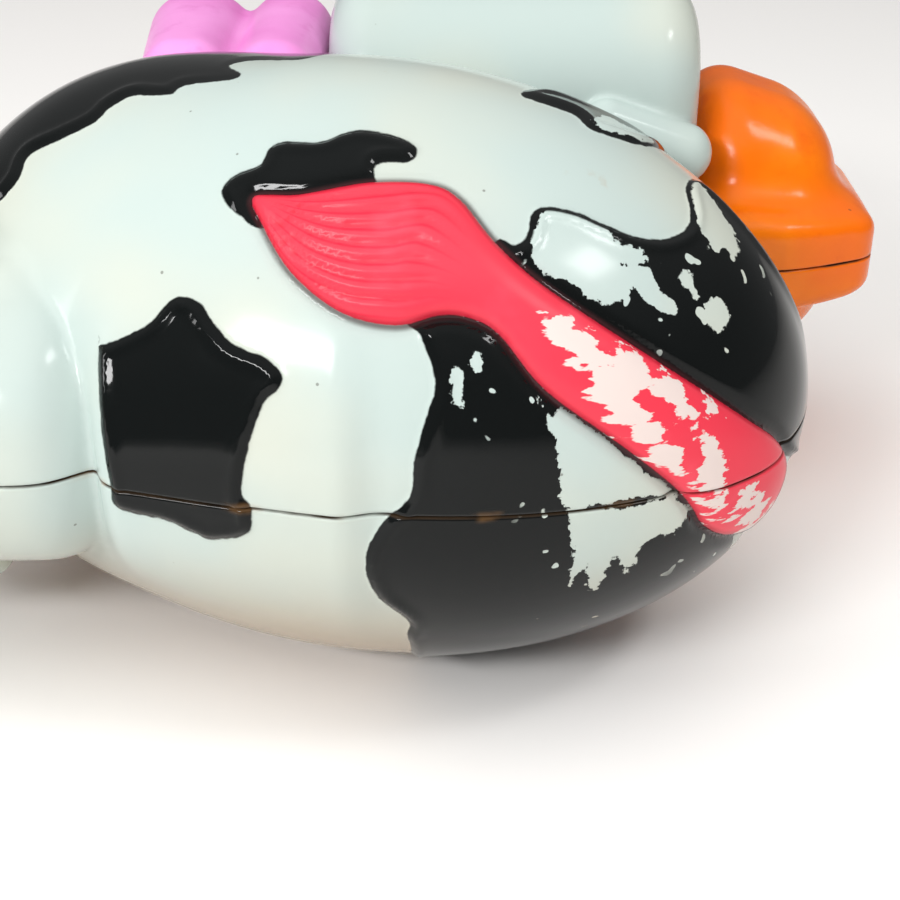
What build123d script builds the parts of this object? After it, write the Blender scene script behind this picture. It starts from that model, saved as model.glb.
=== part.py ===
from build123d import *
import os

# A hard-shell novelty chicken in a cow suit, lying on its side. The two suit shells meet on a
# level parting plane. X runs from the crown to the feet, Y from the back to the belly, and the
# floor is Z = 0. Lengths are in millimetres. "Left" is the chicken's left side, which lies on top.

# ---- driving dimensions -------------------------------------------------------------------
BODY_LENGTH = 146.0      # long axis of the egg-shaped body
BODY_WIDTH = 99.0        # the body across, which is also its height as it lies
BODY_LEAN = -15.0        # turn of the long axis about Z, in degrees
WALL = 2.0               # shell thickness
RUNNING_GAP = 0.1        # radial play of pins and spigots
FREE_GAP = 0.3           # play between faces that move past each other

CHEST_RADIUS = 44.5      # the chest is a ball that fills out the egg towards the belly
CHEST_X = -31.0
CHEST_Y = 15.0

NECK_RADIUS = 24.0
NECK_Y = -19.0           # neck axis, from the body centre towards the back
NECK_REACH = 7.0         # how far the neck stands out past the egg
NECK_LENGTH = 60.0       # most of it is buried in the egg
NECK_WALL = 3.0
NECK_BORE = 15.0         # radius of the bore that the head turns in
FLANGE_LIP = 3.0         # how far the head's flange stands out past its bore

LEG_LENGTH = 69.0
LEG_SETBACK = 12.0       # the legs end this far short of the egg's end
LEG_OVERLAP = 9.5        # how far the legs sink into the egg's belly
LEG_DEPTH = 50.0
LEG_GAP = 14.0           # between the two legs
LEG_CORNER = 17.0
LEG_EDGE = 4.0
PASSAGE_LENGTH = 20.0    # opening between the body's hollow and each leg's
PASSAGE_WIDTH = 12.0
PASSAGE_DEPTH = 10.0
PASSAGE_INSET = 10.0     # middle of the opening, from the leg's inner side

FOOT_LENGTH = 29.0       # the two side lobes of the webbed foot
HEEL_LENGTH = 36.0       # the middle lobe, which ends in the flat sole
ANKLE_WIDTH = 68.0
ANKLE_DEPTH = 44.0
ANKLE_CORNER = 14.0
ANKLE_SHIFT = 1.0        # the ankle's middle, from the leg's towards the belly
TOE_WIDTH = 40.0
TOE_DEPTH = 30.0
TOE_CORNER = 12.0
TOE_RISE = 3.0           # the toes' middle, from the ankle's towards the belly
HEEL_WIDTH = 19.0
HEEL_CORNER = 8.0
HEEL_DROP = 10.0         # the heel's middle, from the ankle's towards the back
PLUG_LENGTH = 6.0        # foot plug inside each leg
PLUG_WIDTH = 16.0
PLUG_DEPTH = 24.0
PLUG_INSET = 13.0        # middle of the plug, from the leg's inner side

UDDER_LENGTH = 38.0
UDDER_GAP = 0.5          # between the udder and the legs
UDDER_INSET = 6.5        # the udder is narrower than the body by this on each side
UDDER_BACK = 28.0
UDDER_FRONT = 82.0
UDDER_CORNER = 12.0
UDDER_EDGE = 10.0
TEAT_RADIUS = 5.0
TEAT_LENGTH = 8.0

HEAD_RADIUS = 31.0
HEAD_SETBACK = 26.0      # head centre, past the neck's end
HEAD_Y = -16.0
EYE_RADIUS = 5.0
BEAK_WIDTH = 24.0
BEAK_UPPER_HEIGHT = 19.0
BEAK_LOWER_HEIGHT = 10.0
BEAK_TIP = 2.0           # half height of the upper beak's tip
WATTLE_RADIUS = 4.5
COMB_THICKNESS = 6.0
COMB_LOBE = 9.0

WING_SETBACK = 14.0      # wing pivots, before the neck's end
WING_Y = -16.0
WING_REACH = 16.5        # pivot to wing tip
WING_ROOT = 7.0          # radius about the pivot
WING_TIP = 5.0
WING_THICKNESS = 6.5
PIVOT_RADIUS = 4.0
SNAP_LIP = 1.4           # the pivot's snap head stands out by this
BOSS_RADIUS = 8.0
BOSS_TOP = 26.0          # height of the boss face over the parting plane
BOSS_DEPTH = 11.0

TUBE_RADIUS = 17.0       # groan tube, which carries a sliding reed weight
TUBE_WALL = 1.5
TUBE_START = -35.0       # from the body centre
TUBE_LENGTH = 62.0
CAP_LENGTH = 4.0
AIR_HOLE = 1.5
WEIGHT_LENGTH = 18.0
REED_WIDTH = 6.0
REED_THICKNESS = 0.8
RIB_THICKNESS = 3.0      # saddle ribs that carry the tube
RIB_WIDTH = 28.0
RIB_OFFSET = 20.0        # ribs, either side of the tube's middle
POST_RADIUS = 3.0        # locating posts between the shells
POST_SPACING = 20.0
PIN_RADIUS = 1.6
PIN_LENGTH = 4.0

TAIL_RELIEF = 2.5        # moulded tail and patches stand out by this much
PATCH_RELIEF = 0.8

# ---- places along X and Y, from the body centre ---------------------------------------------
HALF_WIDTH = BODY_WIDTH / 2
NECK_END = -BODY_LENGTH / 2 - NECK_REACH
HEAD_X = NECK_END - HEAD_SETBACK
WING_X = NECK_END + WING_SETBACK
LEG_END = BODY_LENGTH / 2 - LEG_SETBACK
LEG_START = LEG_END - LEG_LENGTH
LEG_NEAR = HALF_WIDTH - LEG_OVERLAP
UDDER_START = LEG_START - UDDER_GAP - UDDER_LENGTH
UDDER_WIDTH = BODY_WIDTH - 2 * UDDER_INSET
TUBE_MIDDLE = TUBE_START + TUBE_LENGTH / 2
PLUG_Z = LEG_GAP / 2 + PLUG_INSET
PASSAGE_Z = LEG_GAP / 2 + PASSAGE_INSET
ANKLE_Y = LEG_NEAR + LEG_DEPTH / 2 + ANKLE_SHIFT
POST_SPREAD = 2 * TUBE_RADIUS + 6 * POST_RADIUS

# ---- planes: the part's origin is under the middle of its bounding box ------------------------
CROWN = HEAD_X - HEAD_RADIUS - COMB_LOBE
SOLE = LEG_END + HEEL_LENGTH
lean_x = Vector(1, 0, 0).rotate(Axis.Z, BODY_LEAN)
BACK = -((BODY_LENGTH / 2 * lean_x.Y) ** 2 + (HALF_WIDTH * lean_x.X) ** 2) ** 0.5
BELLY = max(LEG_NEAR + LEG_DEPTH, UDDER_FRONT + TEAT_LENGTH)
BODY_X = -(CROWN + SOLE) / 2
BODY_Y = -(BACK + BELLY) / 2
mid = Plane(origin=(BODY_X, BODY_Y, HALF_WIDTH))
lean = mid.rotated((0, 0, 180 + BODY_LEAN))      # its x is the egg's long axis


def across(x):
    """Plane square to X, x from the body centre; its own x is +Y and its own y is +Z."""
    return Plane(origin=(BODY_X + x, BODY_Y, HALF_WIDTH), x_dir=(0, 1, 0), z_dir=(1, 0, 0))


def facing(y):
    """Plane square to Y, y from the body centre; its own x is +X and its own y is -Z."""
    return Plane(origin=(BODY_X, BODY_Y + y, HALF_WIDTH), x_dir=(1, 0, 0), z_dir=(0, 1, 0))


def level(z):
    """Plane parallel to the parting plane, z over it."""
    return mid.offset(z)


# The flank plane looks at the back and the left side together: the tail is drawn on it.
flank = Plane(origin=mid.origin, x_dir=(1, 0, 0), z_dir=(0, -0.866, 0.5))


# ---- forms shared by several pieces -------------------------------------------------------
def egg(grow):
    """The body egg as a solid, grown by the given amount."""
    width = HALF_WIDTH + grow
    with BuildPart() as form:
        Sphere(width)
        scale(by=((BODY_LENGTH / 2 + grow) / width, 1, 1))
    return lean.location * form.part


def ball(x, y, z, radius):
    """A ball placed from the body centre."""
    with BuildPart(level(z)) as form:
        with Locations((x, y)):
            Sphere(radius)
    return form.part


def body(grow):
    """The body as a solid, grown by the given amount: the egg and the full chest."""
    with BuildPart() as form:
        add(egg(grow))
        add(ball(CHEST_X, CHEST_Y, 0, CHEST_RADIUS + grow))
    return form.part


def leg(grow, side):
    """One leg block, side +1 for the left leg and -1 for the right."""
    height = HALF_WIDTH - LEG_GAP / 2 + 2 * grow
    middle = (HALF_WIDTH + LEG_GAP / 2) / 2
    with BuildPart() as form:
        with BuildSketch(across(LEG_START - grow)):
            with Locations((LEG_NEAR + LEG_DEPTH / 2, side * middle)):
                RectangleRounded(LEG_DEPTH + 2 * grow, height, LEG_CORNER + grow)
        extrude(amount=LEG_END - LEG_START + 2 * grow)
        fillet(form.edges().group_by(Axis.X)[0], LEG_EDGE + grow)
        fillet(form.edges().group_by(Axis.X)[-1], LEG_EDGE + grow)
    return form.part


def wing_side(side):
    """Level plane of a wing boss face, facing outward; its own y is +Y on the left, -Y on the right."""
    return Plane(
        origin=(BODY_X, BODY_Y, HALF_WIDTH + side * BOSS_TOP),
        x_dir=(1, 0, 0),
        z_dir=(0, 0, side),
    )


def foot(grow):
    """The webbed foot: two side lobes that narrow towards the toes and a middle heel lobe."""
    with BuildPart() as form:
        with BuildSketch(across(LEG_END - grow)):
            with Locations((ANKLE_Y, 0)):
                RectangleRounded(ANKLE_DEPTH + 2 * grow, ANKLE_WIDTH + 2 * grow, ANKLE_CORNER + grow)
        with BuildSketch(across(LEG_END + FOOT_LENGTH + grow)):
            with Locations((ANKLE_Y + TOE_RISE, 0)):
                RectangleRounded(TOE_DEPTH + 2 * grow, TOE_WIDTH + 2 * grow, TOE_CORNER + grow)
        loft()
        with BuildSketch(across(LEG_END - grow)):
            with Locations((ANKLE_Y - HEEL_DROP, 0)):
                RectangleRounded(ANKLE_DEPTH + 2 * grow, HEEL_WIDTH + 2 * grow, HEEL_CORNER + grow)
        extrude(amount=HEEL_LENGTH + 2 * grow)
    return form.part


head_ball = ball(HEAD_X, HEAD_Y, 0, HEAD_RADIUS)

# ---- raised cow markings and tail, as prisms that the egg's surface trims -------------------
with BuildPart() as tail:
    with BuildSketch(flank):
        with BuildLine():
            Spline((-13, 20), (3, 21.5), (16, 19), (28, 6), (50, -7), (64, -15))
            Spline((64, -15), (66, -22), (58, -28), (50, -25))
            Spline((50, -25), (38, -15), (28, -8), (21, 0), (13, 2.5), (0, 3), (-8, 9), (-13, 20))
        make_face()
    extrude(amount=BODY_LENGTH)

with BuildPart() as patches:
    with BuildSketch(flank):
        with BuildLine():
            Spline(
                (-36, 0), (-26, 4), (-19, 4), (-9, -6), (-14, -17), (-14, -28), (-30, -25), (-36, 0)
            )
        make_face()
        with BuildLine():
            Spline(
                (9, 1), (12, -8), (9, -20), (3, -32), (9, -43), (30, -43), (55, -32), (55, -24),
                (30, -8), (9, 1),
            )
        make_face()
        with BuildLine():
            Spline((22, 12), (28, 18), (44, 14), (52, 24), (64, 4), (64, -13), (42, 0), (22, 12))
        make_face()
    extrude(amount=BODY_LENGTH)


# ---- suit shells --------------------------------------------------------------------------
def raised(prism, relief):
    """The part of a marking's prism that stands out of the egg."""
    with BuildPart() as form:
        add(prism.part)
        add(egg(relief), mode=Mode.INTERSECT)
    return form.part


def suit_outside(side):
    """One suit shell as a solid form: body, neck, leg, wing boss and markings."""
    with BuildPart() as form:
        add(body(0))
        with BuildSketch(across(NECK_END)):
            with Locations((NECK_Y, 0)):
                Circle(NECK_RADIUS)
        extrude(amount=NECK_LENGTH)
        add(leg(0, side))
        with BuildSketch(wing_side(side)):
            with Locations((WING_X, side * WING_Y)):
                Circle(BOSS_RADIUS)
        extrude(amount=-BOSS_TOP)
        add(raised(tail, TAIL_RELIEF))
        add(raised(patches, PATCH_RELIEF))
        split(bisect_by=mid, keep=Keep.TOP if side > 0 else Keep.BOTTOM)
    return form.part


def suit_hollow(side):
    """What is taken out of one suit shell: its hollow, the pivot bore and the neck bore."""
    with BuildPart() as form:
        add(body(-WALL))
        with BuildSketch(across(NECK_END + NECK_WALL)):
            with Locations((NECK_Y, 0)):
                Circle(NECK_RADIUS - WALL)
        extrude(amount=NECK_LENGTH)
        add(leg(-WALL, side))
        with BuildSketch(across(LEG_START + PASSAGE_LENGTH / 2)):
            with Locations((LEG_NEAR + WALL / 2, side * PASSAGE_Z)):
                Rectangle(PASSAGE_DEPTH, PASSAGE_WIDTH)
        extrude(amount=PASSAGE_LENGTH)
        with BuildSketch(across(LEG_END - 2 * WALL)):
            with Locations((LEG_NEAR + LEG_DEPTH / 2, side * PLUG_Z)):
                Rectangle(PLUG_DEPTH, PLUG_WIDTH)
        extrude(amount=4 * WALL)
        with BuildSketch(wing_side(side)):
            with Locations((WING_X, side * WING_Y)):
                Circle(BOSS_RADIUS)
        extrude(amount=-BOSS_DEPTH, mode=Mode.SUBTRACT)
        with BuildSketch(wing_side(side).offset(1)):
            with Locations((WING_X, side * WING_Y)):
                Circle(PIVOT_RADIUS + RUNNING_GAP)
        extrude(amount=-BOSS_DEPTH - 2)
        with BuildSketch(across(NECK_END - 1)):
            with Locations((NECK_Y, 0)):
                Circle(NECK_BORE)
        extrude(amount=NECK_WALL + 2)
    return form.part


def inside_ribs(side):
    """Saddle ribs for the groan tube and the posts that locate one shell on the other."""
    with BuildPart() as form:
        for offset_x in (-RIB_OFFSET, RIB_OFFSET):
            with BuildSketch(across(TUBE_MIDDLE + offset_x - RIB_THICKNESS / 2)):
                Rectangle(RIB_WIDTH, BODY_WIDTH)
            extrude(amount=RIB_THICKNESS)
        with BuildSketch(mid):
            with GridLocations(POST_SPACING, POST_SPREAD, 2, 2):
                Circle(POST_RADIUS)
        extrude(amount=side * HALF_WIDTH)
        add(body(-WALL / 2), mode=Mode.INTERSECT)
        with BuildSketch(across(TUBE_START)):
            Circle(TUBE_RADIUS)
        extrude(amount=TUBE_LENGTH, mode=Mode.SUBTRACT)
        split(bisect_by=mid, keep=Keep.TOP if side > 0 else Keep.BOTTOM)
    return form.part


with BuildPart() as suit_shell_left:
    add(suit_outside(1))
    add(suit_hollow(1), mode=Mode.SUBTRACT)
    add(inside_ribs(1))
    with BuildSketch(mid):
        with GridLocations(POST_SPACING, POST_SPREAD, 2, 2):
            Circle(PIN_RADIUS + RUNNING_GAP)
    extrude(amount=PIN_LENGTH + 1, mode=Mode.SUBTRACT)

with BuildPart() as suit_shell_right:
    add(suit_outside(-1))
    add(suit_hollow(-1), mode=Mode.SUBTRACT)
    add(inside_ribs(-1))
    with BuildSketch(level(-1)):
        with GridLocations(POST_SPACING, POST_SPREAD, 2, 2):
            Circle(PIN_RADIUS)
    extrude(amount=PIN_LENGTH + 1)

# ---- webbed foot, in two shells -----------------------------------------------------------
with BuildPart() as foot_whole:
    add(foot(0))
    add(foot(-WALL), mode=Mode.SUBTRACT)
    for side in (1, -1):
        with BuildSketch(across(LEG_END - PLUG_LENGTH)):
            with Locations((LEG_NEAR + LEG_DEPTH / 2, side * PLUG_Z)):
                Rectangle(PLUG_DEPTH - 2 * RUNNING_GAP, PLUG_WIDTH - 2 * RUNNING_GAP)
        extrude(amount=PLUG_LENGTH + WALL / 2)

with BuildPart() as foot_shell_left:
    add(foot_whole.part)
    split(bisect_by=mid, keep=Keep.TOP)

with BuildPart() as foot_shell_right:
    add(foot_whole.part)
    split(bisect_by=mid, keep=Keep.BOTTOM)

# ---- udder --------------------------------------------------------------------------------
def udder_block(grow):
    """The udder's soft block, from the body centre out to its front."""
    with BuildPart() as form:
        with BuildSketch(facing(0)):
            with Locations((UDDER_START + UDDER_LENGTH / 2, 0)):
                RectangleRounded(UDDER_LENGTH + 2 * grow, UDDER_WIDTH + 2 * grow, UDDER_CORNER + grow)
        extrude(amount=UDDER_FRONT + grow)
        fillet(form.edges().group_by(Axis.Y)[-1], UDDER_EDGE + grow)
    return form.part


with BuildPart() as teats:
    with BuildSketch(facing(UDDER_FRONT - WALL / 2)):
        with Locations((UDDER_START + UDDER_LENGTH / 2, 0)):
            with GridLocations(UDDER_LENGTH / 3, UDDER_WIDTH / 2, 2, 2):
                Circle(TEAT_RADIUS)
    extrude(amount=TEAT_LENGTH + WALL / 2)
    fillet(teats.edges().group_by(Axis.Y)[-1], TEAT_RADIUS * 0.8)

with BuildPart() as udder:
    add(udder_block(0))
    add(teats.part)
    add(udder_block(-WALL), mode=Mode.SUBTRACT)
    add(body(0), mode=Mode.SUBTRACT)
    split(bisect_by=facing(UDDER_BACK), keep=Keep.TOP)

# ---- head ---------------------------------------------------------------------------------
with BuildPart() as head_whole:
    add(head_ball)
    split(bisect_by=across(NECK_END - FREE_GAP), keep=Keep.BOTTOM)
    with BuildSketch(across(NECK_END - FREE_GAP - WALL)):
        with Locations((NECK_Y, 0)):
            Circle(NECK_BORE - RUNNING_GAP)
    extrude(amount=FREE_GAP + NECK_WALL + 2 * WALL)
    with BuildSketch(across(NECK_END + NECK_WALL + FREE_GAP)):
        with Locations((NECK_Y, 0)):
            Circle(NECK_BORE + FLANGE_LIP)
    extrude(amount=WALL)

with BuildPart() as head_hollow:
    add(ball(HEAD_X, HEAD_Y, 0, HEAD_RADIUS - WALL))
    split(bisect_by=across(NECK_END - FREE_GAP - WALL), keep=Keep.BOTTOM)
    with BuildSketch(across(HEAD_X)):
        with Locations((NECK_Y, 0)):
            Circle(NECK_BORE - RUNNING_GAP - WALL)
    extrude(amount=HEAD_RADIUS * 2)

with BuildPart() as head_shell_left:
    add(head_whole.part)
    add(head_hollow.part, mode=Mode.SUBTRACT)
    split(bisect_by=mid, keep=Keep.TOP)

with BuildPart() as head_shell_right:
    add(head_whole.part)
    add(head_hollow.part, mode=Mode.SUBTRACT)
    split(bisect_by=mid, keep=Keep.BOTTOM)

with BuildPart() as beak_upper:
    with BuildSketch(facing(HEAD_Y)):
        with Locations((HEAD_X - 0.19 * HEAD_RADIUS, 0)):
            Ellipse(BEAK_UPPER_HEIGHT / 2, BEAK_WIDTH / 2)
    with BuildSketch(facing(HEAD_Y + 2 * HEAD_RADIUS)):
        with Locations((HEAD_X + 0.1 * HEAD_RADIUS, 0)):
            Ellipse(BEAK_TIP, BEAK_TIP + 0.5)
    loft()
    add(head_ball, mode=Mode.SUBTRACT)

with BuildPart() as beak_lower:
    with BuildSketch(facing(HEAD_Y)):
        with Locations((HEAD_X + 0.29 * HEAD_RADIUS, 0)):
            Ellipse(BEAK_LOWER_HEIGHT / 2, 0.75 * BEAK_WIDTH / 2)
    with BuildSketch(facing(HEAD_Y + 1.7 * HEAD_RADIUS)):
        with Locations((HEAD_X + 0.26 * HEAD_RADIUS, 0)):
            Ellipse(0.75 * BEAK_TIP, BEAK_TIP)
    loft()
    add(head_ball, mode=Mode.SUBTRACT)

with BuildPart() as comb:
    with BuildSketch(level(-COMB_THICKNESS / 2)):
        with Locations((HEAD_X, HEAD_Y)):
            with PolarLocations(HEAD_RADIUS, 3, start_angle=152, angular_range=56, endpoint=True):
                Circle(COMB_LOBE)
    extrude(amount=COMB_THICKNESS)
    add(head_ball, mode=Mode.SUBTRACT)

with BuildPart() as wattle:
    for side in (1, -1):
        wattle_x = HEAD_X + 0.565 * HEAD_RADIUS
        wattle_y = HEAD_Y + 0.85 * HEAD_RADIUS
        add(ball(wattle_x, wattle_y, side * WATTLE_RADIUS * 2 / 3, WATTLE_RADIUS))
    add(head_ball, mode=Mode.SUBTRACT)


def eye(side):
    """A domed eye on one side of the head."""
    with BuildPart() as form:
        eye_x = HEAD_X - 0.19 * HEAD_RADIUS
        eye_y = HEAD_Y + 0.58 * HEAD_RADIUS
        add(ball(eye_x, eye_y, side * 0.79 * HEAD_RADIUS, EYE_RADIUS))
        add(head_ball, mode=Mode.SUBTRACT)
    return form


eye_left = eye(1)
eye_right = eye(-1)


# ---- wings, each with a snap-in pivot ------------------------------------------------------
def wing(side):
    """A wing raised beside the head, with a pin that snaps through its boss."""
    face = wing_side(side).offset(FREE_GAP)
    with BuildPart() as form:
        with BuildSketch(face):
            with Locations((WING_X, side * WING_Y)):
                Circle(WING_ROOT)
            with Locations((WING_X - WING_REACH + WING_TIP, side * WING_Y)):
                Circle(WING_TIP)
            make_hull()
        extrude(amount=WING_THICKNESS)
        fillet(form.edges().group_by(Axis.Z)[-1 if side > 0 else 0], 2)
        with BuildSketch(face):
            with Locations((WING_X, side * WING_Y)):
                Circle(PIVOT_RADIUS)
        extrude(amount=-FREE_GAP - BOSS_DEPTH - WALL)
        with BuildSketch(face.offset(-2 * FREE_GAP - BOSS_DEPTH)):
            with Locations((WING_X, side * WING_Y)):
                Circle(PIVOT_RADIUS + SNAP_LIP)
        extrude(amount=-WALL)
    return form


wing_left = wing(1)
wing_right = wing(-1)

# ---- groan tube ---------------------------------------------------------------------------
with BuildPart() as voice_tube:
    with BuildSketch(across(TUBE_START)):
        Circle(TUBE_RADIUS)
        Circle(TUBE_RADIUS - TUBE_WALL, mode=Mode.SUBTRACT)
    extrude(amount=TUBE_LENGTH)


def voice_cap(x, outward):
    """A perforated cap pressed into one end of the tube, x at the tube's end."""
    with BuildPart() as form:
        with BuildSketch(across(x)):
            Circle(TUBE_RADIUS)
        extrude(amount=outward * WALL)
        with BuildSketch(across(x)):
            Circle(TUBE_RADIUS - TUBE_WALL - RUNNING_GAP / 2)
        extrude(amount=-outward * CAP_LENGTH)
        with BuildSketch(across(x - 2 * CAP_LENGTH)):
            Circle(AIR_HOLE)
            with PolarLocations(TUBE_RADIUS / 2, 6):
                Circle(AIR_HOLE)
        extrude(amount=4 * CAP_LENGTH, mode=Mode.SUBTRACT)
    return form


voice_cap_front = voice_cap(TUBE_START + TUBE_LENGTH, 1)
voice_cap_back = voice_cap(TUBE_START, -1)

# the weight rests against the back cap and carries the reed over its air hole
WEIGHT_START = TUBE_START + CAP_LENGTH + RUNNING_GAP
with BuildPart() as voice_weight:
    with BuildSketch(across(WEIGHT_START)):
        Circle(TUBE_RADIUS - TUBE_WALL - RUNNING_GAP)
        Circle(AIR_HOLE, mode=Mode.SUBTRACT)
    extrude(amount=WEIGHT_LENGTH)

with BuildPart() as voice_reed:
    with BuildSketch(across(WEIGHT_START + WEIGHT_LENGTH)):
        Rectangle(3 * REED_WIDTH, REED_WIDTH)
    extrude(amount=REED_THICKNESS)

# ---- export -------------------------------------------------------------------------------
pieces = {
    "suit_shell_left": suit_shell_left,
    "suit_shell_right": suit_shell_right,
    "foot_shell_left": foot_shell_left,
    "foot_shell_right": foot_shell_right,
    "udder": udder,
    "head_shell_left": head_shell_left,
    "head_shell_right": head_shell_right,
    "beak_upper": beak_upper,
    "beak_lower": beak_lower,
    "comb": comb,
    "wattle": wattle,
    "eye_left": eye_left,
    "eye_right": eye_right,
    "wing_left": wing_left,
    "wing_right": wing_right,
    "voice_tube": voice_tube,
    "voice_cap_front": voice_cap_front,
    "voice_cap_back": voice_cap_back,
    "voice_weight": voice_weight,
    "voice_reed": voice_reed,
}
os.makedirs("parts", exist_ok=True)
for name, piece in pieces.items():
    piece.part.label = name
    export_step(piece.part, f"parts/{name}.step")
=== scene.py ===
import math

import bpy
import numpy as np
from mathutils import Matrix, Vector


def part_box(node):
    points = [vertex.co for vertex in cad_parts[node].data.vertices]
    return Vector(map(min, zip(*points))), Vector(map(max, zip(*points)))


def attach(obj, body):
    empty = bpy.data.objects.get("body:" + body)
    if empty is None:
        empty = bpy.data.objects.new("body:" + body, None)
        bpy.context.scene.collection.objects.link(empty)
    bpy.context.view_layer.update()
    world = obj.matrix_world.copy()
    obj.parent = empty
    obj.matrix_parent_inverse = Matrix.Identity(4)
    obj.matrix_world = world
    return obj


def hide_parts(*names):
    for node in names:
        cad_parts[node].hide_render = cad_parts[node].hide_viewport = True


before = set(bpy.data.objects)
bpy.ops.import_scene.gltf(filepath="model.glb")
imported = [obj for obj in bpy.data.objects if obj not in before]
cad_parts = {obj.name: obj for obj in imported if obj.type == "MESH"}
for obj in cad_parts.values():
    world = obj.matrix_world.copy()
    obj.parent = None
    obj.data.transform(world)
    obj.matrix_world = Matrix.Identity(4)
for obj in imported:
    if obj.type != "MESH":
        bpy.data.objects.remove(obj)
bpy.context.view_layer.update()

# A hard-shell novelty chicken in a cow suit, lying on its side. Shapes are worked out in
# millimetres from the body's centre: x towards the foot, y towards the belly, z up from the
# parting plane to the chicken's left side. Meshes are then placed in the frame in metres.
MM = 0.001
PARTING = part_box("suit_shell_left")[0].z
SOLE_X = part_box("foot_shell_left")[1].x
BACK_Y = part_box("suit_shell_left")[0].y
SOLE_FROM_CENTRE = 97.0
BACK_FROM_CENTRE = 51.4
CENTRE = np.array([SOLE_X - SOLE_FROM_CENTRE * MM, BACK_Y + BACK_FROM_CENTRE * MM, PARTING])


# ---- distance functions, in millimetres, negative inside ------------------------------------
def length(*parts):
    return np.sqrt(sum(part * part for part in parts))


def blend_union(a, b, radius):
    """Union of two distances with a fillet of about the given radius."""
    share = np.clip(0.5 + 0.5 * (b - a) / radius, 0, 1)
    return b + (a - b) * share - radius * share * (1 - share)


def blend_cut(a, b, radius):
    """What lies inside both, with the edge rounded."""
    return -blend_union(-a, -b, radius)


def both_sides(p):
    """Folds the left and right halves together."""
    return np.stack([p[..., 0], p[..., 1], np.abs(p[..., 2])], -1)


def ellipsoid(p, centre, radii):
    q = p - np.array(centre)
    near = length(*np.moveaxis(q / radii, -1, 0)) + 1e-9
    slope = length(*np.moveaxis(q / np.square(radii), -1, 0)) + 1e-9
    return near * (near - 1) / slope


def rounded_box(p, centre, half, radius):
    q = np.abs(p - np.array(centre)) - (np.array(half) - radius)
    outside = length(*np.moveaxis(np.maximum(q, 0), -1, 0))
    return outside + np.minimum(q.max(-1), 0) - radius


def rounded_prism(x, y, z, half, corner, edge):
    """Prism along x with a rounded rectangle section in y and z, and rounded ends."""
    over_y = np.abs(y) - (half[1] - corner)
    over_z = np.abs(z) - (half[2] - corner)
    outside = length(np.maximum(over_y, 0), np.maximum(over_z, 0))
    section = outside + np.minimum(np.maximum(over_y, over_z), 0) - corner + edge
    ends = np.abs(x) - half[0] + edge
    corner_part = length(np.maximum(section, 0), np.maximum(ends, 0))
    return corner_part + np.minimum(np.maximum(section, ends), 0) - edge


def capsule(p, start, end, radius, end_radius=None):
    """A round rod between two points, which may taper."""
    a = np.array(start, float)
    b = np.array(end, float)
    along = np.clip(((p - a) @ (b - a)) / ((b - a) @ (b - a)), 0, 1)
    size = radius + (radius if end_radius is None else end_radius) * along - radius * along
    return np.linalg.norm(p - a - along[..., None] * (b - a), axis=-1) - size


def polygon_distance(points, outline):
    """Signed distance, negative inside, from 2-D points to a closed outline."""
    best = np.full(len(points), 1e9)
    inside = np.zeros(len(points), bool)
    for a, b in zip(outline, np.roll(outline, -1, axis=0)):
        edge = b - a
        offset = points - a
        along = np.clip(offset @ edge / max(edge @ edge, 1e-9), 0, 1)
        best = np.minimum(best, ((offset - along[:, None] * edge) ** 2).sum(-1))
        crosses = (a[1] > points[:, 1]) != (b[1] > points[:, 1])
        rise = edge[1] if abs(edge[1]) > 1e-9 else 1e-9
        inside ^= crosses & (points[:, 0] < a[0] + (points[:, 1] - a[1]) * edge[0] / rise)
    return np.sqrt(best) * np.where(inside, -1, 1)


def path_distance(points, path):
    """Distance from 2-D points to an open path."""
    best = np.full(len(points), 1e9)
    for a, b in zip(path[:-1], path[1:]):
        edge = b - a
        offset = points - a
        along = np.clip(offset @ edge / (edge @ edge), 0, 1)
        best = np.minimum(best, ((offset - along[:, None] * edge) ** 2).sum(-1))
    return np.sqrt(best)


def curve_through(corners, closed=True, steps=6):
    """A smooth curve through the corners, as points."""
    corners = np.array(corners, float)
    count = len(corners)
    points = []
    for i in range(count if closed else count - 1):
        if closed:
            a, b, c, d = (corners[(i + k) % count] for k in (-1, 0, 1, 2))
        else:
            a, b, c, d = (corners[min(max(i + k, 0), count - 1)] for k in (-1, 0, 1, 2))
        for step in range(steps):
            t = step / steps
            points.append(0.5 * (2 * b + (c - a) * t + (2 * a - 5 * b + 4 * c - d) * t**2
                                 + (3 * b - a - 3 * c + d) * t**3))
    return np.array(points if closed else points + [corners[-1]])


def smoothstep(value, low, high):
    t = np.clip((value - low) / (high - low), 0, 1)
    return t * t * (3 - 2 * t)


# ---- meshes from distance functions -----------------------------------------------------------
def gradient(shape, p):
    step = 0.02
    axes = np.eye(3) * step
    slope = np.stack([shape(p + axis) - shape(p - axis) for axis in axes], -1)
    return slope / np.maximum(np.linalg.norm(slope, axis=-1, keepdims=True), 1e-9)


def sample(shape, grid):
    """The shape's distances on a box grid, one slice at a time."""
    plane = np.stack(np.meshgrid(grid[1], grid[2], indexing="ij"), -1)
    field = np.empty([len(side) for side in grid])
    for i, x in enumerate(grid[0]):
        p = np.concatenate([np.full(plane.shape[:2] + (1,), x), plane], -1)
        field[i] = shape(p)
    return field


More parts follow.
